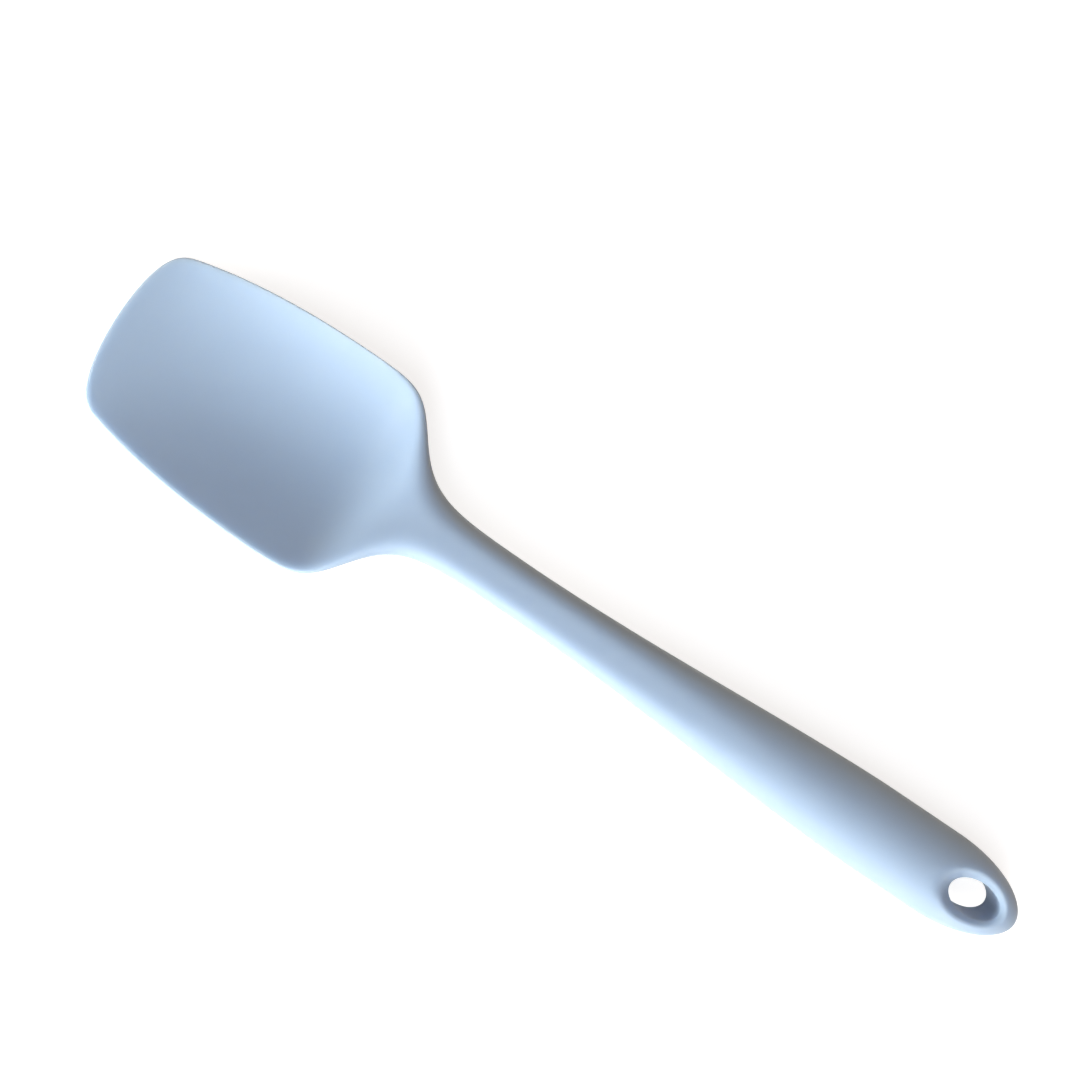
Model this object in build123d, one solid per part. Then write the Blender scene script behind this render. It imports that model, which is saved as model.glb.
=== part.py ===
from build123d import *
import math
import os

# A one-piece silicone scooping spatula with a stiff core, lying on its back, dish up.
# Millimetres. +X runs from the handle's end to the blade's tip and +Z is up. The origin
# is the middle of the footprint, on the surface that the spatula lies on.
# A place is a distance along the spatula, measured from the handle's end.

# Lengths along the spatula
handle_length = 170.0
blade_length = 110.0
hole_place = 14.3
heel_place = 20.0
grip_place = 44.0
fuller_place = 104.5
neck_place = 156.0
shoulder_offset = 20.9
belly_offset = 25.3
sharpening_offset = 28.4
flare_offset = 28.5
thinning_offset = 28.9
entry_offset = 31.0
widest_offset = 45.0

# Handle
grip_width = 23.2
grip_thickness = 17.0
neck_width = 13.7
neck_thickness = 12.0
neck_height = 9.6
end_rounding = 24.6
fuller_reach = 21.5

# Blade
blade_width = 59.3
blade_thickness = 3.1
rim_thickness = 2.4
rim_height = 13.0
tip_height = 10.6
side_taper = 8.2
tip_rounding = 11.8
flare_reach = 6.8
rim_reach = 5.9
thinning_reach = 6.7
sharpening_reach = 9.0
belly_reach = 15.0
entry_reach = 7.3

# Hanging hole, an oval bore between two sloped surrounds
hole_length = 14.5
hole_width = 9.4
hole_wall_height = 9.4
surround_height = 5.0
surround_growth = 5.0

# Core, and the silicone that lies over it
grip_cover = 1.8
blade_cover = 0.8
rim_cover = 8.0
end_cover = 2.2
tip_cover = 27.0
hole_lining = 1.4
core_end_rounding = 9.0
core_tip_rounding = 14.0
core_edge_rounding = 1.5
eye_reach = 6.0
grip_lock_diameter = 4.0
grip_lock_pitch = 24.0
grip_lock_count = 4
blade_lock_diameter = 5.0
blade_lock_pitch = 13.0
blade_lock_rows = 3

# Numbers without a unit that set how full or how flat a curve is
swell_power = 0.9
end_power = 0.52
grip_power = 2.0
neck_power = 3.85
flare_power = 0.53
side_power = 2.6
tip_power = 4.0
rim_fall_power = 1.3
belly_power = 1.72
dish_power = 2.05
back_power = 2.1
core_edge_power = 8.0
eye_depth_share = 0.55
core_tip_power = 3.0
lock_row_share = 0.225

# How many cross-sections a form has, and how many points each half of one has
section_count = 60
section_steps = 7

length = handle_length + blade_length
shoulder_place = handle_length + shoulder_offset
belly_place = handle_length + belly_offset
sharpening_place = handle_length + sharpening_offset
flare_place = handle_length + flare_offset
thinning_place = handle_length + thinning_offset
entry_place = handle_length + entry_offset
widest_place = handle_length + widest_offset
core_start = end_cover
core_stop = length - tip_cover
handle_slope = (neck_height - grip_thickness / 2) / (neck_place - heel_place)


def held(share):
    """Share held between 0 and 1."""
    return min(max(share, 0), 1)


def mix(first, second, share):
    """Value that goes from the first to the second as the share goes from 0 to 1."""
    return first + (second - first) * share


def climb(place, middle, reach):
    """Smooth step from 0 to 1 that is half way up at its middle."""
    return (1 + math.tanh((place - middle) / reach)) / 2


def rounding(distance, reach, fullness, power):
    """Factor that rounds a form off: 0 at its end, 1 once the reach is passed."""
    return (1 - (1 - held(distance / reach)) ** fullness) ** power


def swell(place):
    """How much of the grip's extra size is there: 1 at the grip, 0 at the neck."""
    share = held((place - grip_place) / (neck_place - grip_place)) ** swell_power
    return 1 - share * share * (3 - 2 * share)


def past_widest(place):
    """0 up to the blade's widest place, then rising to 1 at the tip."""
    return held((place - widest_place) / (length - widest_place))


def half_width(place):
    """Half the spatula's width."""
    handle = mix(neck_width, grip_width, swell(place)) / 2
    blade = blade_width / 2 - side_taper * past_widest(place) ** side_power
    width = mix(handle, blade, climb(place, flare_place, flare_reach) ** flare_power)
    tip = rounding(length - place, tip_rounding, tip_power, 1 / 2)
    return width * rounding(place, end_rounding, 2, end_power) * tip


def handle_axis(place):
    """Height of the handle's straight axis."""
    return grip_thickness / 2 + handle_slope * (place - heel_place)


def handle_depth(place):
    """Half the handle's thickness."""
    depth = mix(neck_thickness, grip_thickness, swell(place)) / 2
    return depth * rounding(place, heel_place, 2, end_power)


def blade_back(place):
    """Height of the blade's back along the middle."""
    return (tip_height - rim_thickness / 2) * past_widest(place) ** belly_power


def edge_height(place):
    """Height of the widest line, which is the handle's axis and then the blade's rim."""
    rim = mix(rim_height, tip_height, past_widest(place) ** rim_fall_power)
    return mix(handle_axis(place), rim, climb(place, shoulder_place, rim_reach))


def edge_depth(place):
    """Half the thickness just inside the widest line."""
    share = climb(place, thinning_place, thinning_reach)
    return mix(handle_depth(place), rim_thickness / 2, share)


def underside(place):
    """Height of the lower face along the middle."""
    handle = handle_axis(place) - handle_depth(place)
    return mix(handle, blade_back(place), climb(place, belly_place, belly_reach))


def topside(place):
    """Height of the upper face along the middle: the handle's top, then the dish's floor."""
    handle = handle_axis(place) + handle_depth(place)
    floor = blade_back(place) + mix(blade_thickness, rim_thickness, past_widest(place))
    return mix(handle, floor, climb(place, entry_place, entry_reach))


def edge_power(place):
    """How blunt the edge is: 2 for the grip's oval, more for the fuller neck and most for
    the blade's thin round rim."""
    handle = mix(grip_power, neck_power, climb(place, fuller_place, fuller_reach))
    blunt = 2 * half_width(place) / edge_depth(place)
    return mix(handle, blunt, climb(place, sharpening_place, sharpening_reach))


def skin_heights(place, share):
    """Lower and upper height of the silicone at a share of its half width."""
    depth = edge_depth(place)
    height = edge_height(place)
    edge = depth * (1 - share ** edge_power(place)) ** (1 / 2)
    closing = rounding(length - place, rim_thickness / 2, 2, 1 / 2)
    lower = edge + (height - underside(place) - depth) * (1 - share ** back_power)
    upper = edge + (topside(place) - height - depth) * (1 - share ** dish_power)
    return height - closing * lower, height + closing * upper


def skin_edge_speed(place):
    """How fast the section's height changes where it turns round its edge."""
    closing = rounding(length - place, rim_thickness / 2, 2, 1 / 2)
    return 2 * closing * edge_depth(place) * edge_power(place) ** (1 / 2)


def cover(place, grip_value, blade_value):
    """Thickness of silicone that goes from its value on the grip to that on the blade."""
    return mix(grip_value, blade_value, climb(place, belly_place, flare_reach))


def core_half_width(place):
    """Half the core's width."""
    width = half_width(place) - cover(place, grip_cover, rim_cover)
    start = rounding(place - core_start, core_end_rounding, 2, 1 / 2)
    return width * start * rounding(core_stop - place, core_tip_rounding, core_tip_power, 1 / 2)


def core_depth(place, share):
    """Half the core's thickness, before its own edge rounds it off."""
    lower, upper = skin_heights(place, share * core_half_width(place) / half_width(place))
    depth = (upper - lower) / 2 - cover(place, grip_cover, blade_cover)
    past_eye = climb(place, hole_place + hole_length, eye_reach)
    start = rounding(place - core_start, core_edge_rounding, 2, 1 / 2)
    stop = rounding(core_stop - place, core_edge_rounding, 2, 1 / 2)
    return depth * mix(eye_depth_share, 1, past_eye) * start * stop


def core_heights(place, share):
    """Lower and upper height of the core at a share of its half width."""
    lower, upper = skin_heights(place, share * core_half_width(place) / half_width(place))
    middle = (upper + lower) / 2
    depth = core_depth(place, share) * (1 - share ** core_edge_power) ** (1 / 2)
    return middle - depth, middle + depth


def core_edge_speed(place):
    """How fast the core's section changes height where it turns round its edge."""
    return 2 * core_depth(place, 1) * core_edge_power ** (1 / 2)


def cross_curves(place, reach, heights, edge_speed):
    """Lower and upper curve across the length, which meet upright at both edges."""
    inner = [1 - (1 - step / section_steps) ** 2 for step in range(section_steps + 1)]
    shares = [-share for share in reversed(inner)] + inner[1:]
    spacing = [step / (len(shares) - 1) for step in range(len(shares))]
    levels = [heights(place, abs(share)) for share in shares]
    x = place - length / 2
    curves = []
    for level, turn in ((0, -edge_speed), (1, edge_speed)):
        points = [(x, share * reach, pair[level]) for share, pair in zip(shares, levels)]
        ends = [(0, 0, turn), (0, 0, -turn)]
        curves.append(Edge.make_spline(points, tangents=ends, parameters=spacing, scale=False))
    return curves


def closed_form(first, last, reach, heights, edge_speed):
    """Closed solid between two end points: an upper and a lower face that share both edges.

    An end point is its place and its height. The cross-sections crowd towards the ends, as
    evenly spaced points of a half circle do when they are seen from the side.
    """
    turns = [math.pi * step / section_count for step in range(1, section_count)]
    places = [mix(first[0], last[0], (1 - math.cos(turn)) / 2) for turn in turns]
    spacing = [step / section_count for step in range(section_count + 1)]
    points = [(place - length / 2, 0, height) for place, height in (first, last)]
    edges = []
    for side in (-1, 1):
        rim = [(place - length / 2, side * reach(place), heights(place, 1)[0]) for place in places]
        edges.append(Edge.make_spline([points[0]] + rim + [points[1]], parameters=spacing))
    crossings = [cross_curves(p, reach(p), heights, edge_speed(p)) for p in places]
    faces = []
    for level in (0, 1):
        profiles = [points[0]] + [pair[level] for pair in crossings] + [points[1]]
        faces.append(Face.make_gordon_surface(profiles, edges))
    return Solid(Shell(Face.sew_faces(faces)[0]))


def upright_oval(growth, low, high):
    """Upright oval bar on the hanging hole's axis, wider than the bore by a growth."""
    oval = Ellipse(hole_length / 2 + growth, hole_width / 2 + growth)
    foot = Location((hole_place - length / 2, 0, low))
    return extrude(foot * oval, high - low)


def surround(rise):
    """Sloped surround of the hanging hole, above the bore for a positive rise."""
    bore = Ellipse(hole_length / 2, hole_width / 2)
    mouth = Ellipse(hole_length / 2 + surround_growth, hole_width / 2 + surround_growth)
    foot = edge_height(hole_place) + math.copysign(hole_wall_height / 2, rise)
    x = hole_place - length / 2
    return loft([Location((x, 0, foot)) * bore, Location((x, 0, foot + rise)) * mouth])


def make_lock_holes():
    """Bars that cut the core's lock holes, through which the silicone grips it."""
    bars = []
    for step in range(grip_lock_count):
        place = grip_place + (step + 1 / 2) * grip_lock_pitch
        bars.append((place, 0, grip_lock_diameter))
    for row in range(blade_lock_rows):
        for column in (-1, 0, 1):
            place = mix(belly_place, core_stop, (row + 1) * lock_row_share)
            bars.append((place, column * blade_lock_pitch, blade_lock_diameter))
    height = grip_thickness + rim_height
    foot = -height / 2
    return [
        Location((place - length / 2, y, foot)) * extrude(Circle(diameter / 2), 2 * height)
        for place, y, diameter in bars
    ]


def make_core():
    """Stiff core: handle bar with an eye, neck and a curved plate in the blade."""
    first = (core_start, edge_height(core_start))
    last = (core_stop, sum(skin_heights(core_stop, 0)) / 2)
    core = closed_form(first, last, core_half_width, core_heights, core_edge_speed)
    eye = upright_oval(hole_lining, 0, grip_thickness + rim_height)
    return core - eye - make_lock_holes()


def make_skin(core):
    """Silicone over the core, with the hanging hole through it."""
    bore = upright_oval(0, -surround_height, grip_thickness + surround_height)
    first = (0, edge_height(0))
    last = (length, edge_height(length))
    skin = closed_form(first, last, half_width, skin_heights, skin_edge_speed)
    return skin - bore - surround(surround_height) - surround(-surround_height) - core


def main():
    """Builds both pieces, sets them down on the surface and writes them."""
    core = make_core()
    skin = make_skin(core)
    footing = Location((0, 0, -skin.bounding_box().min.Z))
    os.makedirs("parts", exist_ok=True)
    for name, piece in (("silicone_skin", skin), ("nylon_core", core)):
        export_step(footing * piece, f"parts/{name}.step")


main()
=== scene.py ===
"""Looks of a seamless silicone scooping spatula with a stiff core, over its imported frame.

The spatula lies on its back, dish up. Lengths are in metres, in the frame of the solids:
+X runs from the handle's end to the blade's tip, +Z is up and z = 0 is the surface that it
lies on. A place is a distance along the spatula, measured from the handle's end.
"""

from __future__ import annotations

import logging
import math
from dataclasses import dataclass
from enum import Enum

import bpy
import numpy as np
from mathutils import Matrix, Vector


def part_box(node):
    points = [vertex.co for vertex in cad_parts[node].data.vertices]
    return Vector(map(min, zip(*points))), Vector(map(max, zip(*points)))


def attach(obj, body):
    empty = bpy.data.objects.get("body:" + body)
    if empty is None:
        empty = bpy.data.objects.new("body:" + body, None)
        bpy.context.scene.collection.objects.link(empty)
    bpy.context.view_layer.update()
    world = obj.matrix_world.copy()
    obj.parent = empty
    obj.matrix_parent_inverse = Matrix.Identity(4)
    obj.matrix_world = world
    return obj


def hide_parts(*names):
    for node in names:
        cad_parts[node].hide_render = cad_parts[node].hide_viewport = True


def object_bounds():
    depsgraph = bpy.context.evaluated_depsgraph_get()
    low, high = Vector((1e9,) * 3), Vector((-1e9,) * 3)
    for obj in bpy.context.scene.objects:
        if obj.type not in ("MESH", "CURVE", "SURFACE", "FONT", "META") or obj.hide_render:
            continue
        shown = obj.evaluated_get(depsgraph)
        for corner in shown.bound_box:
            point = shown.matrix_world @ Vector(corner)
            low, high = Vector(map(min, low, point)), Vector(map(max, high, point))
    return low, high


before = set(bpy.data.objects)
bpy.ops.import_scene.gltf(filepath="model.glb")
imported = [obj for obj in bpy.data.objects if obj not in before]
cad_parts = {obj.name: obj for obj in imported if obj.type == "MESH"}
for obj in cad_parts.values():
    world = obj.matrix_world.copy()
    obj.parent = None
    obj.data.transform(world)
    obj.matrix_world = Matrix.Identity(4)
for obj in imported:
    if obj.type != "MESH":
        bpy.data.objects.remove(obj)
cad_box = [list(corner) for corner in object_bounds()]

Array = np.ndarray
Colour = tuple[float, float, float]
Point = tuple[float, float, float]

log = logging.getLogger("spatula")


class Sheet(Enum):
    """The two sheets of the skin, which meet along its widest line."""

    UPPER = 1
    LOWER = -1


def held(share: Array) -> Array:
    """Share held between 0 and 1."""
    return np.clip(share, 0.0, 1.0)


def mix(first: Array, second: Array, share: Array) -> Array:
    """Value that goes from the first to the second as the share goes from 0 to 1."""
    return first + (second - first) * share


def climb(place: Array, middle: float, reach: float) -> Array:
    """Smooth step from 0 to 1, half a hyperbolic tangent, that is half way at its middle."""
    return (1.0 + np.tanh((place - middle) / reach)) / 2.0


def rounding(distance: Array, reach: float, fullness: float, power: float) -> Array:
    """Factor that rounds a form off.

    It is one minus (one minus the distance over the reach) to the fullness, all to the power:
    0 at the form's end and 1 once the reach is passed.

    Args:
        distance: Distances from the form's end.
        reach: Distance over which the form is rounded.
        fullness: How square the rounding is, 2 for a circle's.
        power: How steeply it starts, 1/2 for a circle's.

    Returns:
        The factors, shaped like the distances.
    """
    return (1.0 - (1.0 - held(distance / reach)) ** fullness) ** power


def soft_least(first: Array, second: Array, reach: float) -> Array:
    """Lesser of two heights, with the crease between them rounded over a reach.

    Where the two differ by less than the reach, a quarter of the reach times the square of the
    share that is missing is taken off the lesser one.
    """
    near = held(1.0 - np.abs(first - second) / reach)
    return np.minimum(first, second) - reach * near**2 / 4.0


@dataclass(frozen=True)
class SpatulaForm:
    """Outer form of the spatula, as an upper and a lower height over its plan."""

    length: float = 0.280
    heel_place: float = 0.020
    grip_place: float = 0.044
    fuller_place: float = 0.1045
    neck_place: float = 0.156
    shoulder_place: float = 0.1909
    thinning_place: float = 0.1989
    sharpening_place: float = 0.1984
    belly_place: float = 0.1953
    flare_place: float = 0.1985
    entry_place: float = 0.201
    widest_place: float = 0.215
    grip_width: float = 0.0232
    grip_thickness: float = 0.017
    neck_width: float = 0.0137
    neck_thickness: float = 0.012
    neck_height: float = 0.0096
    end_rounding: float = 0.0246
    fuller_reach: float = 0.0215
    blade_width: float = 0.0593
    blade_thickness: float = 0.0031
    rim_thickness: float = 0.0024
    rim_round: float = 0.0004
    rim_height: float = 0.013
    tip_height: float = 0.0106
    side_taper: float = 0.0082
    tip_rounding: float = 0.0118
    flare_reach: float = 0.0068
    rim_reach: float = 0.0059
    thinning_reach: float = 0.0067
    sharpening_reach: float = 0.009
    belly_reach: float = 0.015
    entry_reach: float = 0.0073
    swell_power: float = 0.9
    end_power: float = 0.52
    grip_power: float = 2.0
    neck_power: float = 3.85
    flare_power: float = 0.53
    side_power: float = 2.6
    tip_power: float = 4.0
    rim_fall_power: float = 1.3
    belly_power: float = 1.72
    dish_power: float = 2.05
    back_power: float = 2.1
    round_rim_place: float = 0.212
    round_rim_reach: float = 0.004

    def swell(self, place: Array) -> Array:
        """Share of the grip's extra size: 1 at the grip and 0 at the neck."""
        share = held((place - self.grip_place) / (self.neck_place - self.grip_place))
        share = share**self.swell_power
        return 1.0 - share * share * (3.0 - 2.0 * share)

    def past_widest(self, place: Array) -> Array:
        """0 up to the blade's widest place, then rising evenly to 1 at the tip."""
        return held((place - self.widest_place) / (self.length - self.widest_place))

    def half_width(self, place: Array) -> Array:
        """Half the width: the handle's, then the blade's, rounded off at both ends."""
        handle = mix(self.neck_width, self.grip_width, self.swell(place)) / 2.0
        taper = self.side_taper * self.past_widest(place) ** self.side_power
        blade = self.blade_width / 2.0 - taper
        flare = climb(place, self.flare_place, self.flare_reach) ** self.flare_power
        start = rounding(place, self.end_rounding, 2.0, self.end_power)
        tip = rounding(self.length - place, self.tip_rounding, self.tip_power, 0.5)
        return mix(handle, blade, flare) * start * tip

    def handle_axis(self, place: Array) -> Array:
        """Height of the handle's straight axis."""
        rise = self.neck_height - self.grip_thickness / 2.0
        slope = rise / (self.neck_place - self.heel_place)
        return self.grip_thickness / 2.0 + slope * (place - self.heel_place)

    def handle_depth(self, place: Array) -> Array:
        """Half the handle's thickness."""
        depth = mix(self.neck_thickness, self.grip_thickness, self.swell(place)) / 2.0
        return depth * rounding(place, self.heel_place, 2.0, self.end_power)

    def blade_back(self, place: Array) -> Array:
        """Height of the blade's back along the middle."""
        rise = self.tip_height - self.rim_thickness / 2.0
        return rise * self.past_widest(place) ** self.belly_power

    def edge_height(self, place: Array) -> Array:
        """Height of the widest line: the handle's axis, then the blade's rim."""
        fall = self.past_widest(place) ** self.rim_fall_power
        rim = mix(self.rim_height, self.tip_height, fall)
        return mix(self.handle_axis(place), rim, climb(place, self.shoulder_place, self.rim_reach))

    def edge_depth(self, place: Array) -> Array:
        """Half the thickness just inside the widest line."""
        share = climb(place, self.thinning_place, self.thinning_reach)
        return mix(self.handle_depth(place), self.rim_thickness / 2.0, share)

    def underside(self, place: Array) -> Array:
        """Height of the lower sheet along the middle."""
        handle = self.handle_axis(place) - self.handle_depth(place)
        return mix(handle, self.blade_back(place), climb(place, self.belly_place, self.belly_reach))

    def topside(self, place: Array) -> Array:
        """Height of the upper sheet along the middle: the handle's top, then the dish."""
        handle = self.handle_axis(place) + self.handle_depth(place)
        wall = mix(self.blade_thickness, self.rim_thickness, self.past_widest(place))
        floor = self.blade_back(place) + wall
        return mix(handle, floor, climb(place, self.entry_place, self.entry_reach))

    def edge_swell(self, place: Array, share: Array, inset: Array) -> Array:
        """Half the thickness that the rounded edge leaves.

        On the handle it is the edge's depth times the root of one minus the share to a power,
        2 for the grip's oval and more towards the blade. On the blade it is a blunt rim, a
        quarter of an oval over the distance in from the outline.

        Args:
            place: Places along the spatula.
            share: Distances across, as shares of the half width.
            inset: Distances in from the outline.

        Returns:
            The half thicknesses.
        """
        depth = self.edge_depth(place)
        blunt = 2.0 * self.half_width(place) / np.maximum(depth, self.rim_thickness / 2.0)
        fuller = climb(place, self.fuller_place, self.fuller_reach)
        handle = mix(self.grip_power, self.neck_power, fuller)
        sharper = climb(place, self.sharpening_place, self.sharpening_reach)
        power = mix(handle, np.maximum(blunt, 2.0), sharper)
        oval = np.sqrt(np.maximum(1.0 - share**power, 0.0))
        rim = rounding(inset, self.rim_round, 2.0, 0.5)
        return depth * mix(oval, rim, climb(place, self.round_rim_place, self.round_rim_reach))

    def height(self, sheet: Sheet, place: Array, across: Array, inset: Array) -> Array:
        """Height of a sheet of the skin over points of the plan.

        It is the widest line's height, plus or minus the rounded edge's half thickness, plus
        what the middle lies above or below that, times one minus the share to a power.

        Args:
            sheet: The upper or the lower sheet.
            place: Places along the spatula.
            across: Distances from the middle plane.
            inset: Distances in from the outline.

        Returns:
            The heights.
        """
        width = np.maximum(self.half_width(place), self.rim_thickness / 1000.0)
        share = held(across / width)
        edge = self.edge_height(place)
        depth = self.edge_depth(place)
        swell = self.edge_swell(place, share, inset)
        if sheet is Sheet.UPPER:
            return edge + swell + (self.topside(place) - edge - depth) * (1.0 - share**self.dish_power)
        return edge - swell - (edge - self.underside(place) - depth) * (1.0 - share**self.back_power)


@dataclass(frozen=True)
class HangingHole:
    """Oval hole through the handle, with a sloped surround on both of its faces."""

    place: float = 0.0143
    length: float = 0.0145
    width: float = 0.0094
    wall_height: float = 0.0094
    rim_radius: float = 0.0004
    crease_reach: float = 0.0010
    steps: int = 6

    def growth(self, place: Array, across: Array) -> Array:
        """How far an oval round the hole has grown where it passes through each point.

        The oval with half axes a + g and b + g passes through the point where (x / (a + g))
        squared plus (y / (b + g)) squared is 1. A few Newton steps find that g.

        Args:
            place: Places along the spatula.
            across: Distances from the middle plane.

        Returns:
            The growths, 0 on the hole's wall.
        """
        x = place - self.place
        grown = np.maximum(np.hypot(x, across) - self.width / 2.0, 0.0)
        for _ in range(self.steps):
            a = self.length / 2.0 + grown
            b = self.width / 2.0 + grown
            value = (x / a) ** 2 + (across / b) ** 2 - 1.0
            slope = -2.0 * (x**2 / a**3 + across**2 / b**3)
            grown = np.maximum(grown - value / np.minimum(slope, -1.0), 0.0)
        return grown

    def oval(self, turn: Array, growth: float) -> tuple[Array, Array]:
        """Plan points of the oval that has grown by a growth, at turns about its middle."""
        place = self.place + (self.length / 2.0 + growth) * np.cos(turn)
        return place, (self.width / 2.0 + growth) * np.sin(turn)

    def surround(self, place: Array, across: Array) -> Array:
        """Height of the surround above the wall's middle: it rises as fast as its oval grows."""
        return self.wall_height / 2.0 + self.growth(place, across)

    def rim_growth(self) -> float:
        """Growth at which the rounded rim of the wall runs into the slope of the surround."""
        return self.rim_radius * (1.0 - math.cos(math.pi / 4.0))


def grid_quads(rows: int, columns: int, first: int, turned: bool) -> Array:
    """Four-sided faces of a grid of points.

    Args:
        rows: Points along the first direction.
        columns: Points along the second direction.
        first: Index of the grid's first point.
        turned: Whether the faces look the other way.

    Returns:
        One row of four indices for each face.
    """
    index = first + np.arange(rows * columns).reshape(rows, columns)
    corners = [index[:-1, :-1], index[1:, :-1], index[1:, 1:], index[:-1, 1:]]
    quads = np.stack(corners, axis=-1).reshape(-1, 4)
    return quads[:, ::-1] if turned else quads


def welded(points: Array, quads: Array, gap: float) -> tuple[Array, Array]:
    """Joins the points that lie within a gap of each other.

    Args:
        points: One row of three coordinates for each point.
        quads: The faces' indices.
        gap: Side of the cells in which points count as one.

    Returns:
        The points that are left, and the faces on them.
    """
    cells = np.round(points / gap).astype(np.int64)
    _, keep, which = np.unique(cells, axis=0, return_index=True, return_inverse=True)
    return points[keep], which.reshape(-1)[quads]


def enclosed_volume(points: Array, quads: Array) -> float:
    """Volume inside closed faces that look outwards, as a sum of pyramids to the origin."""
    a, b, c, d = (points[quads[:, corner]] for corner in range(4))
    pyramids = np.cross(b - a, c - a) + np.cross(c - a, d - a)
    return float(np.einsum("ij,ij->", a, pyramids) / 6.0)


def smooth_object(name: str, points: Array, quads: Array) -> bpy.types.Object:
    """Smooth-shaded mesh object of four-sided faces, at the origin.

    Args:
        name: Name of the object.
        points: One row of three coordinates for each point.
        quads: One row of four indices for each face.

    Returns:
        The object, linked to the scene.
    """
    mesh = bpy.data.meshes.new(name)
    mesh.vertices.add(len(points))
    mesh.vertices.foreach_set("co", points.astype(np.float32).reshape(-1))
    mesh.loops.add(quads.size)
    mesh.loops.foreach_set("vertex_index", quads.astype(np.int32).reshape(-1))
    mesh.polygons.add(len(quads))
    mesh.polygons.foreach_set("loop_start", np.arange(0, quads.size, 4, dtype=np.int32))
    mesh.update(calc_edges=True)
    mesh.polygons.foreach_set("use_smooth", np.ones(len(quads), dtype=bool))
    mesh.validate()
    piece = bpy.data.objects.new(name, mesh)
    bpy.context.collection.objects.link(piece)
    return piece


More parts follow.
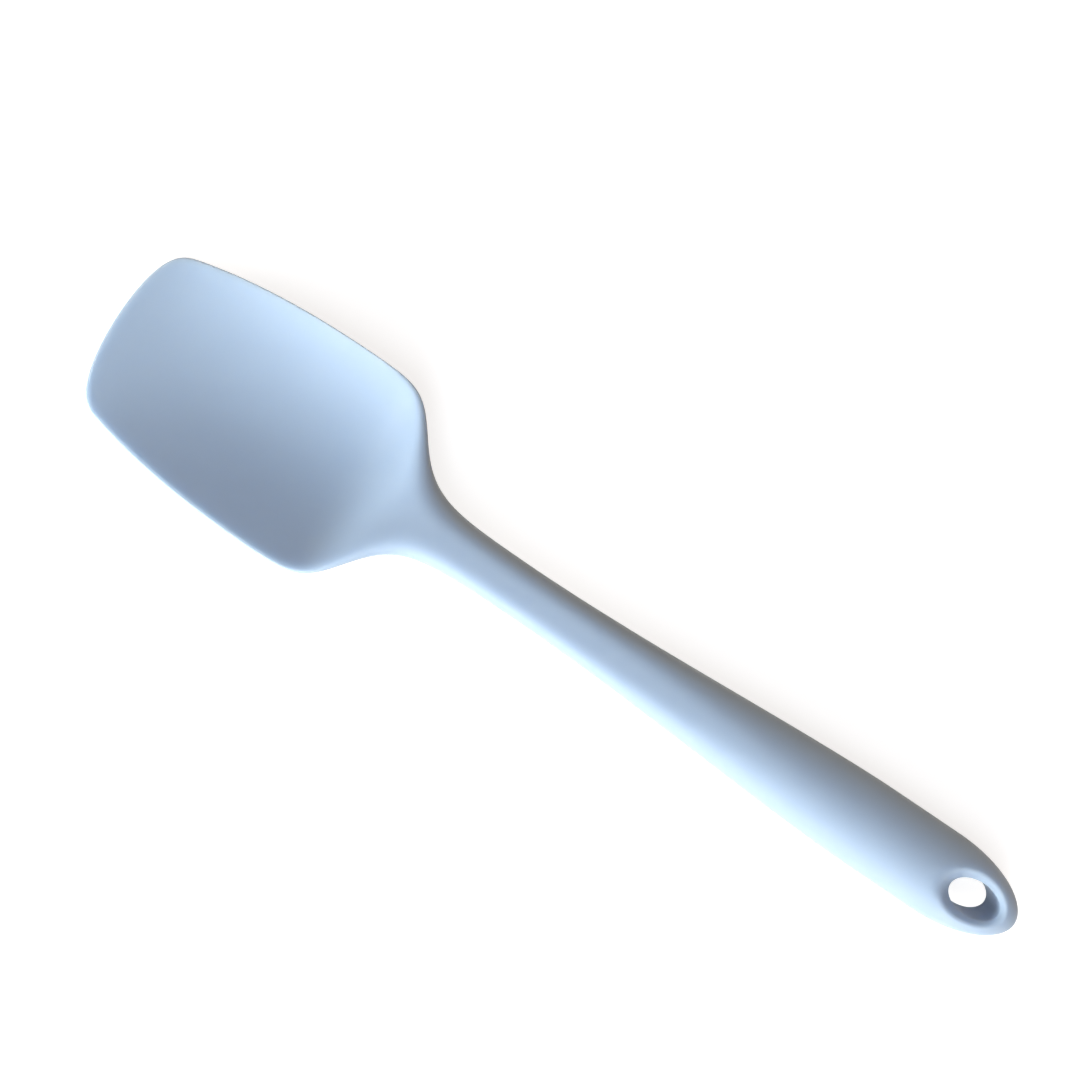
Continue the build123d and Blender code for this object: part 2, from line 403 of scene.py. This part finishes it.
@dataclass(frozen=True)
class SiliconeSkin:
    """The silicone: the whole outside of the spatula and the lining of its hanging hole.

    Rays run in from the outline to the hole's rim or to the middle line. They are straight
    across the spatula for most of its length and fan out round both of its ends, so that no
    face is thin anywhere. The four quarters of the surface use the same rays.
    """

    form: SpatulaForm
    hole: HangingHole
    node: str = "silicone_skin"
    ray_count: int = 300
    ray_steps: int = 60
    outline_steps: int = 6000
    end_fan_stop: float = 0.032
    tip_fan_start: float = 0.250
    tip_fan_depth: float = 0.016
    oval_lead: float = 0.0035
    end_crowding: float = 1.6
    end_crowd_reach: float = 0.010
    flare_crowding: float = 0.8
    flare_crowd_reach: float = 0.014
    wall_steps: int = 10
    rim_steps: int = 6
    weld_gap: float = 1e-7

    def outline(self, turn: Array) -> tuple[Array, Array]:
        """Outline of one side: places as a half circle's shadow, and half widths there.

        Turns run from 0 at the handle's end to 1 at the tip. Past these the outline goes on
        round the other side, so that its direction at both ends can be measured.
        """
        place = self.form.length * (1.0 - np.cos(math.pi * turn)) / 2.0
        side = np.where((turn < 0.0) | (turn > 1.0), -1.0, 1.0)
        return place, side * self.form.half_width(place)

    def ray_turns(self) -> Array:
        """Turns at which the rays start, crowded at both ends and where the blade flares."""
        turn = np.linspace(0.0, 1.0, self.outline_steps)
        place, across = self.outline(turn)
        steps = np.hypot(np.diff(place), np.diff(across))
        near_end = np.exp(-place / self.end_crowd_reach)
        near_tip = np.exp(-(self.form.length - place) / self.end_crowd_reach)
        from_flare = (place - self.form.flare_place) / self.flare_crowd_reach
        weight = 1.0 + self.end_crowding * (near_end + near_tip)
        weight = weight + self.flare_crowding * np.exp(-(from_flare**2))
        run = np.concatenate([[0.0], np.cumsum(steps * (weight[1:] + weight[:-1]) / 2.0)])
        return np.interp(np.linspace(0.0, run[-1], self.ray_count + 1), run, turn)

    def ray_stops(self, place: Array) -> tuple[Array, Array, int]:
        """Plan points at which the rays stop.

        The first ones stop on the hole's oval, evenly turned about it, the next on the middle
        line up to where rays are straight, and the last, evenly, on a short stretch near the tip.

        Args:
            place: Places at which the rays start.

        Returns:
            The stops' places, their distances across, and how many rays stop on the oval.
        """
        index = np.arange(len(place))
        straight = int(np.searchsorted(place, self.end_fan_stop))
        fan = int(np.searchsorted(place, self.tip_fan_start))
        front = float(self.hole.oval(np.zeros(1), self.hole.rim_growth())[0][0])
        on_oval = int(np.searchsorted(place, front + self.oval_lead))
        turn = math.pi * (1.0 - held(index / on_oval))
        stop, across = self.hole.oval(turn, self.hole.rim_growth())
        share = held((index - on_oval) / (straight - on_oval))
        line = mix(front, place[straight], share)
        line = np.where(index >= straight, place, line)
        depth = self.tip_fan_depth * (index - fan) / (len(place) - 1 - fan)
        line = np.where(index >= fan, place[fan] + depth, line)
        beyond = index > on_oval
        return np.where(beyond, line, stop), np.where(beyond, 0.0, across), on_oval + 1

    def ray_shares(self, place: Array) -> Array:
        """How far along its ray each point lies.

        Points follow the square of an even share, so that they crowd at the rim. Near the hole
        they follow 3 squares less 2 cubes, so that they crowd at the hole's rim too.
        """
        share = np.linspace(0.0, 1.0, self.ray_steps + 1)[None, :]
        away = climb(place, self.end_fan_stop + self.end_crowd_reach, self.end_crowd_reach)[:, None]
        return mix(share**2 * (3.0 - 2.0 * share), share**2, away)

    def surface(self) -> tuple[Array, Array]:
        """Points and faces of the whole skin.

        Returns:
            The points, and the faces, which all look outwards.
        """
        turn = self.ray_turns()
        place, across = self.outline(turn)
        tiny = 1.0 / self.outline_steps
        ahead = self.outline(turn + tiny)
        behind = self.outline(turn - tiny)
        along = np.stack([ahead[0] - behind[0], ahead[1] - behind[1]], axis=-1)
        along /= np.linalg.norm(along, axis=-1, keepdims=True)
        stop, stop_across, oval_count = self.ray_stops(place)
        shares = self.ray_shares(place)
        x = mix(place[:, None], stop[:, None], shares)
        y = mix(across[:, None], stop_across[:, None], shares)
        inset = (x - place[:, None]) * along[:, 1:] - (y - across[:, None]) * along[:, :1]
        middle = float(self.form.edge_height(np.array(self.hole.place)))
        surround = self.hole.surround(x, y)
        points: list[Array] = []
        quads: list[Array] = []
        rims: dict[Sheet, Array] = {}
        first = 0
        for sheet in Sheet:
            rise = sheet.value * (self.form.height(sheet, x, y, inset) - middle)
            height = middle + sheet.value * soft_least(rise, surround, self.hole.crease_reach)
            rims[sheet] = height[:oval_count, -1]
            for side in (1, -1):
                grid = np.stack([x - self.form.length / 2.0, side * y, height], axis=-1)
                points.append(grid.reshape(-1, 3))
                quads.append(grid_quads(*x.shape, first, turned=side == sheet.value))
                first += x.size
        for side in (1, -1):
            ring = self.lining(rims, oval_count, side)
            points.append(ring.reshape(-1, 3))
            quads.append(grid_quads(*ring.shape[:2], first, turned=side == 1))
            first += ring.size // 3
        return welded(np.concatenate(points), np.concatenate(quads), self.weld_gap)

    def lining(self, rims: dict[Sheet, Array], count: int, side: int) -> Array:
        """One side of the hole's lining: a rounded rim, a straight wall and a rounded rim.

        Each rim is an eighth of a circle from the surround's slope to upright. Its growth is the
        rim's radius times one minus the turn's cosine, and it drops by the radius times the
        difference of sines.

        Args:
            rims: Heights at which the two sheets stop.
            count: How many rays stop on the oval.
            side: Side of the middle plane, 1 or -1.

        Returns:
            A grid of points, turns about the hole by steps down its wall.
        """
        turn = math.pi * (1.0 - np.arange(count) / (count - 1))
        arc = np.linspace(math.pi / 4.0, 0.0, self.rim_steps + 1)
        growth = self.hole.rim_radius * (1.0 - np.cos(arc))
        drop = self.hole.rim_radius * (math.sin(math.pi / 4.0) - np.sin(arc))
        upper = rims[Sheet.UPPER][:, None] - drop[None, :]
        lower = rims[Sheet.LOWER][:, None] + drop[None, ::-1]
        shares = np.linspace(0.0, 1.0, self.wall_steps + 1)[None, 1:-1]
        wall = mix(upper[:, -1:], lower[:, :1], shares)
        height = np.concatenate([upper, wall, lower], axis=1)
        straight = np.zeros(self.wall_steps - 1)
        growths = np.concatenate([growth, straight, growth[::-1]])[None, :]
        place, across = self.hole.oval(turn[:, None], growths)
        return np.stack([place - self.form.length / 2.0, side * across, height], axis=-1)

    def build(self) -> bpy.types.Object:
        """Makes the skin's mesh, set down as low as the solid that it replaces.

        Returns:
            The skin's object.
        """
        points, quads = self.surface()
        points[:, 2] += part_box(self.node)[0][2] - points[:, 2].min()
        skin = smooth_object("silicone_surface", points, quads)
        volume = enclosed_volume(points, quads)
        log.info("%s: %d faces round %.1f cubic cm", skin.name, len(quads), volume * 1e6)
        return skin

    def dress(self, skin: bpy.types.Object, finish: bpy.types.Material) -> None:
        """Puts the finish on, and lets the piece stand for the skin's solid."""
        skin.data.materials.append(finish)
        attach(skin, "root")
        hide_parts(self.node)


@dataclass(frozen=True)
class NylonCore:
    """The stiff core that the silicone hides. Its solid stays as it is."""

    node: str = "nylon_core"

    def dress(self, finish: bpy.types.Material) -> None:
        """Puts the finish on the core's own solid."""
        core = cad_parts[self.node]
        core.data.materials.clear()
        core.data.materials.append(finish)
        log.info("%s: kept as it is, with its own finish", core.name)


class Tree:
    """Small helper that adds and joins the nodes of a material or of a node group."""

    def __init__(self, tree: bpy.types.NodeTree) -> None:
        """Keeps the tree that nodes are added to."""
        self.tree = tree

    def add(self, kind: str, **values: object) -> bpy.types.Node:
        """Adds a node.

        Args:
            kind: The node's type, without the ShaderNode in front.
            **values: Properties of the node.

        Returns:
            The new node.
        """
        node = self.tree.nodes.new("ShaderNode" + kind)
        for name, value in values.items():
            setattr(node, name, value)
        return node

    def join(self, source: bpy.types.NodeSocket, target: bpy.types.NodeSocket) -> None:
        """Joins an output to an input."""
        self.tree.links.new(source, target)

    def value(self, operation: str, first: object, second: object) -> bpy.types.NodeSocket:
        """Adds a sum, product or other step of arithmetic.

        Args:
            operation: Name of the operation, such as MULTIPLY.
            first: A socket or a number.
            second: A socket or a number.

        Returns:
            The result's socket.
        """
        node = self.add("Math", operation=operation)
        for place, item in enumerate((first, second)):
            if isinstance(item, bpy.types.NodeSocket):
                self.join(item, node.inputs[place])
            else:
                node.inputs[place].default_value = item
        return node.outputs[0]

    def noise(self, where: bpy.types.NodeSocket, scale: object, detail: float) -> bpy.types.NodeSocket:
        """Adds a noise that goes from about -1/2 to 1/2.

        Args:
            where: Socket with the coordinates.
            scale: A socket or a number, in waves to the metre.
            detail: How many finer octaves are laid over it.

        Returns:
            The noise's socket.
        """
        node = self.add("TexNoise")
        self.join(where, node.inputs["Vector"])
        if isinstance(scale, bpy.types.NodeSocket):
            self.join(scale, node.inputs["Scale"])
        else:
            node.inputs["Scale"].default_value = scale
        node.inputs["Detail"].default_value = detail
        return self.value("SUBTRACT", node.outputs["Fac"], 0.5)


MARKS_TO_A_CLOUD = 4.0
CLOUD_DETAIL = 3.0
FINE_DETAIL = 2.0


def make_moulded_group() -> bpy.types.NodeTree:
    """Node group for a moulded surface: faint clouds of shade, handling marks and fine grain.

    Returns:
        The group. It puts out a shade, a roughness and a height, all about 0.
    """
    group = bpy.data.node_groups.new("moulded_surface", "ShaderNodeTree")
    sockets = group.interface
    sockets.new_socket("Vector", in_out="INPUT", socket_type="NodeSocketVector")
    for name, value in (("Cloud Scale", 30.0), ("Cloud Amount", 0.04), ("Grain Scale", 4000.0)):
        sockets.new_socket(name, in_out="INPUT", socket_type="NodeSocketFloat").default_value = value
    for name in ("Shade", "Roughness", "Height"):
        sockets.new_socket(name, in_out="OUTPUT", socket_type="NodeSocketFloat")
    tree = Tree(group)
    source = group.nodes.new("NodeGroupInput").outputs
    target = group.nodes.new("NodeGroupOutput").inputs
    mark_scale = tree.value("MULTIPLY", source["Cloud Scale"], MARKS_TO_A_CLOUD)
    clouds = tree.noise(source["Vector"], source["Cloud Scale"], CLOUD_DETAIL)
    marks = tree.noise(source["Vector"], mark_scale, FINE_DETAIL)
    grain = tree.noise(source["Vector"], source["Grain Scale"], FINE_DETAIL)
    tree.join(tree.value("MULTIPLY", clouds, source["Cloud Amount"]), target["Shade"])
    tree.join(tree.value("ADD", clouds, marks), target["Roughness"])
    tree.join(grain, target["Height"])
    return group


@dataclass(frozen=True)
class MouldedFinish:
    """Finish of a moulded piece, with its own colour, gloss and strength of surface marks."""

    name: str
    colour: Colour
    roughness: float
    roughness_play: float
    sheen: float
    scatter: float
    scatter_reach: float
    cloud_scale: float
    cloud_amount: float
    grain_scale: float
    grain_height: float
    index: float

    def material(self, group: bpy.types.NodeTree) -> bpy.types.Material:
        """Makes the finish's material.

        Args:
            group: The node group for a moulded surface.

        Returns:
            The material.
        """
        material = bpy.data.materials.new(self.name)
        material.use_nodes = True
        material.diffuse_color = (*self.colour, 1.0)
        tree = Tree(material.node_tree)
        shader = material.node_tree.nodes["Principled BSDF"]
        where = tree.add("TexCoord").outputs["Object"]
        marks = tree.add("Group", node_tree=group)
        tree.join(where, marks.inputs["Vector"])
        marks.inputs["Cloud Scale"].default_value = self.cloud_scale
        marks.inputs["Cloud Amount"].default_value = self.cloud_amount
        marks.inputs["Grain Scale"].default_value = self.grain_scale
        shade = tree.add("Mix", data_type="RGBA", blend_type="MULTIPLY")
        shade.inputs["Factor"].default_value = 1.0
        shade.inputs["A"].default_value = (*self.colour, 1.0)
        level = tree.add("CombineColor")
        lightness = tree.value("ADD", marks.outputs["Shade"], 1.0)
        for channel in range(3):
            tree.join(lightness, level.inputs[channel])
        tree.join(level.outputs[0], shade.inputs["B"])
        tree.join(shade.outputs["Result"], shader.inputs["Base Color"])
        play = tree.value("MULTIPLY", marks.outputs["Roughness"], self.roughness_play)
        tree.join(tree.value("ADD", play, self.roughness), shader.inputs["Roughness"])
        bump = tree.add("Bump")
        bump.inputs["Distance"].default_value = self.grain_height
        tree.join(marks.outputs["Height"], bump.inputs["Height"])
        tree.join(bump.outputs["Normal"], shader.inputs["Normal"])
        shader.inputs["IOR"].default_value = self.index
        shader.inputs["Sheen Weight"].default_value = self.sheen
        shader.inputs["Subsurface Weight"].default_value = self.scatter
        shader.inputs["Subsurface Scale"].default_value = self.scatter_reach
        shader.inputs["Subsurface Radius"].default_value = (1.0, 1.0, 1.0)
        return material


SILICONE = MouldedFinish(
    name="matte_silicone",
    colour=(0.366, 0.479, 0.624),
    roughness=0.52,
    roughness_play=0.10,
    sheen=0.04,
    scatter=1.0,
    scatter_reach=0.0045,
    cloud_scale=28.0,
    cloud_amount=0.05,
    grain_scale=5200.0,
    grain_height=0.000006,
    index=1.41,
)
NYLON = MouldedFinish(
    name="satin_nylon",
    colour=(0.70, 0.68, 0.61),
    roughness=0.42,
    roughness_play=0.16,
    sheen=0.0,
    scatter=0.05,
    scatter_reach=0.001,
    cloud_scale=60.0,
    cloud_amount=0.10,
    grain_scale=2600.0,
    grain_height=0.000012,
    index=1.53,
)


@dataclass(frozen=True)
class Lamp:
    """Soft oblong lamp that looks at the spatula.

    Its level is the light that a face square to it gets, where 1 shows a colour as it is written.
    """

    name: str
    azimuth: float
    elevation: float
    level: float
    colour: Colour
    distance: float = 0.8
    width: float = 0.5
    height: float = 0.4

    def build(self, aim: Vector) -> None:
        """Hangs the lamp.

        Args:
            aim: Point that it looks at.
        """
        turn, rise = math.radians(self.azimuth), math.radians(self.elevation)
        flat = math.cos(rise)
        away = Vector((math.cos(turn) * flat, math.sin(turn) * flat, math.sin(rise)))
        data = bpy.data.lights.new(self.name, "AREA")
        data.shape = "RECTANGLE"
        data.size = self.width
        data.size_y = self.height
        data.color = self.colour
        data.energy = self.level * (math.pi * self.distance) ** 2
        lamp = bpy.data.objects.new(self.name, data)
        lamp.location = aim + away * self.distance
        lamp.rotation_euler = away.to_track_quat("Z", "Y").to_euler()
        lamp.visible_camera = False
        bpy.context.collection.objects.link(lamp)
        log.info("%s: level %.2f", self.name, self.level)


@dataclass(frozen=True)
class Studio:
    """Pale floor, white surroundings, soft lamps and the camera."""

    lamps: tuple[Lamp, ...]
    ambient: Colour = (0.277, 0.192, 0.153)
    floor_radius: float = 3.0
    floor_glow: float = 0.78
    floor_colour: Colour = (0.45, 0.45, 0.45)
    floor_bounce: Colour = (0.2, 0.2, 0.2)
    camera_place: Point = (0.01857, -0.02850, 0.28817)
    camera_aim: Point = (0.01777, -0.01328, 0.0)
    camera_turn: float = 214.08
    picture_side: float = 1080.0
    focal_pixels: float = 1081.0
    sensor: float = 36.0

    def seen_rays(self, tree: Tree) -> bpy.types.NodeSocket:
        """Adds a mask that is 1 for rays from the camera, a reflection or a clear surface."""
        path = tree.add("LightPath").outputs
        seen = tree.value("MAXIMUM", path["Is Camera Ray"], path["Is Glossy Ray"])
        return tree.value("MAXIMUM", seen, path["Is Transmission Ray"])

    def build_floor(self) -> None:
        """Lays the floor. It looks white with a pale shadow, and throws back little light."""
        r = self.floor_radius
        corners = [(-r, -r, 0.0), (r, -r, 0.0), (r, r, 0.0), (-r, r, 0.0)]
        mesh = bpy.data.meshes.new("floor")
        mesh.from_pydata(corners, [], [(0, 1, 2, 3)])
        floor = bpy.data.objects.new("floor", mesh)
        bpy.context.collection.objects.link(floor)
        material = bpy.data.materials.new("pale_floor")
        material.use_nodes = True
        tree = Tree(material.node_tree)
        shader = material.node_tree.nodes["Principled BSDF"]
        colour = tree.add("Mix", data_type="RGBA")
        colour.inputs["A"].default_value = (*self.floor_bounce, 1.0)
        colour.inputs["B"].default_value = (*self.floor_colour, 1.0)
        seen = self.seen_rays(tree)
        tree.join(seen, colour.inputs["Factor"])
        tree.join(colour.outputs["Result"], shader.inputs["Base Color"])
        tree.join(tree.value("MULTIPLY", seen, self.floor_glow), shader.inputs["Emission Strength"])
        shader.inputs["Emission Color"].default_value = (1.0, 1.0, 1.0, 1.0)
        shader.inputs["Roughness"].default_value = 1.0
        shader.inputs["Specular IOR Level"].default_value = 0.0
        mesh.materials.append(material)

    def build_world(self) -> None:
        """Sets the surroundings: white where they are seen, dimmer as light."""
        world = bpy.data.worlds.new("surroundings")
        world.use_nodes = True
        bpy.context.scene.world = world
        tree = Tree(world.node_tree)
        light = world.node_tree.nodes["Background"]
        light.inputs["Color"].default_value = (*self.ambient, 1.0)
        white = tree.add("Background")
        white.inputs["Color"].default_value = (1.0, 1.0, 1.0, 1.0)
        both = tree.add("MixShader")
        tree.join(self.seen_rays(tree), both.inputs[0])
        tree.join(light.outputs[0], both.inputs[1])
        tree.join(white.outputs[0], both.inputs[2])
        tree.join(both.outputs[0], world.node_tree.nodes["World Output"].inputs["Surface"])

    def build_camera(self) -> None:
        """Sets the camera up, nearly straight above, with the picture's right at its turn."""
        place = Vector(self.camera_place)
        ahead = (Vector(self.camera_aim) - place).normalized()
        turn = math.radians(self.camera_turn)
        right = Vector((math.cos(turn), math.sin(turn), 0.0))
        right = (right - ahead * right.dot(ahead)).normalized()
        up = right.cross(ahead)
        data = bpy.data.cameras.new("camera")
        data.sensor_width = self.sensor
        data.lens = self.sensor * self.focal_pixels / self.picture_side
        data.clip_start = self.camera_place[2] / 100.0
        camera = bpy.data.objects.new("camera", data)
        turned = Matrix((right, up, -ahead)).transposed().to_4x4()
        camera.matrix_world = Matrix.Translation(place) @ turned
        bpy.context.collection.objects.link(camera)
        bpy.context.scene.camera = camera

    def build(self) -> None:
        """Builds the whole studio round the spatula."""
        bpy.context.scene.view_settings.view_transform = "Standard"
        self.build_floor()
        self.build_world()
        self.build_camera()
        middle = (Vector(cad_box[0]) + Vector(cad_box[1])) / 2.0
        for lamp in self.lamps:
            lamp.build(middle)


LAMPS = (
    Lamp("blade_window", azimuth=40.0, elevation=10.0, level=1.12, colour=(0.95, 1.00, 1.00)),
    Lamp("side_window", azimuth=80.0, elevation=10.0, level=0.61, colour=(1.00, 1.00, 0.91)),
    Lamp("grip_window", azimuth=120.0, elevation=10.0, level=0.42, colour=(1.00, 0.89, 0.77)),
    Lamp("far_window", azimuth=280.0, elevation=10.0, level=0.19, colour=(1.00, 0.79, 0.45)),
    Lamp("grip_skylight", azimuth=110.0, elevation=38.0, level=0.48, colour=(0.84, 0.92, 1.00)),
    Lamp("top_panel", azimuth=90.0, elevation=72.0, level=0.37, colour=(0.73, 0.88, 1.00)),
)


def main() -> None:
    """Builds the skin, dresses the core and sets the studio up."""
    logging.basicConfig(level=logging.INFO, format="%(name)s: %(message)s")
    group = make_moulded_group()
    skin = SiliconeSkin(SpatulaForm(), HangingHole())
    skin.dress(skin.build(), SILICONE.material(group))
    NylonCore().dress(NYLON.material(group))
    Studio(lamps=LAMPS).build()


if __name__ == "__main__":
    main()
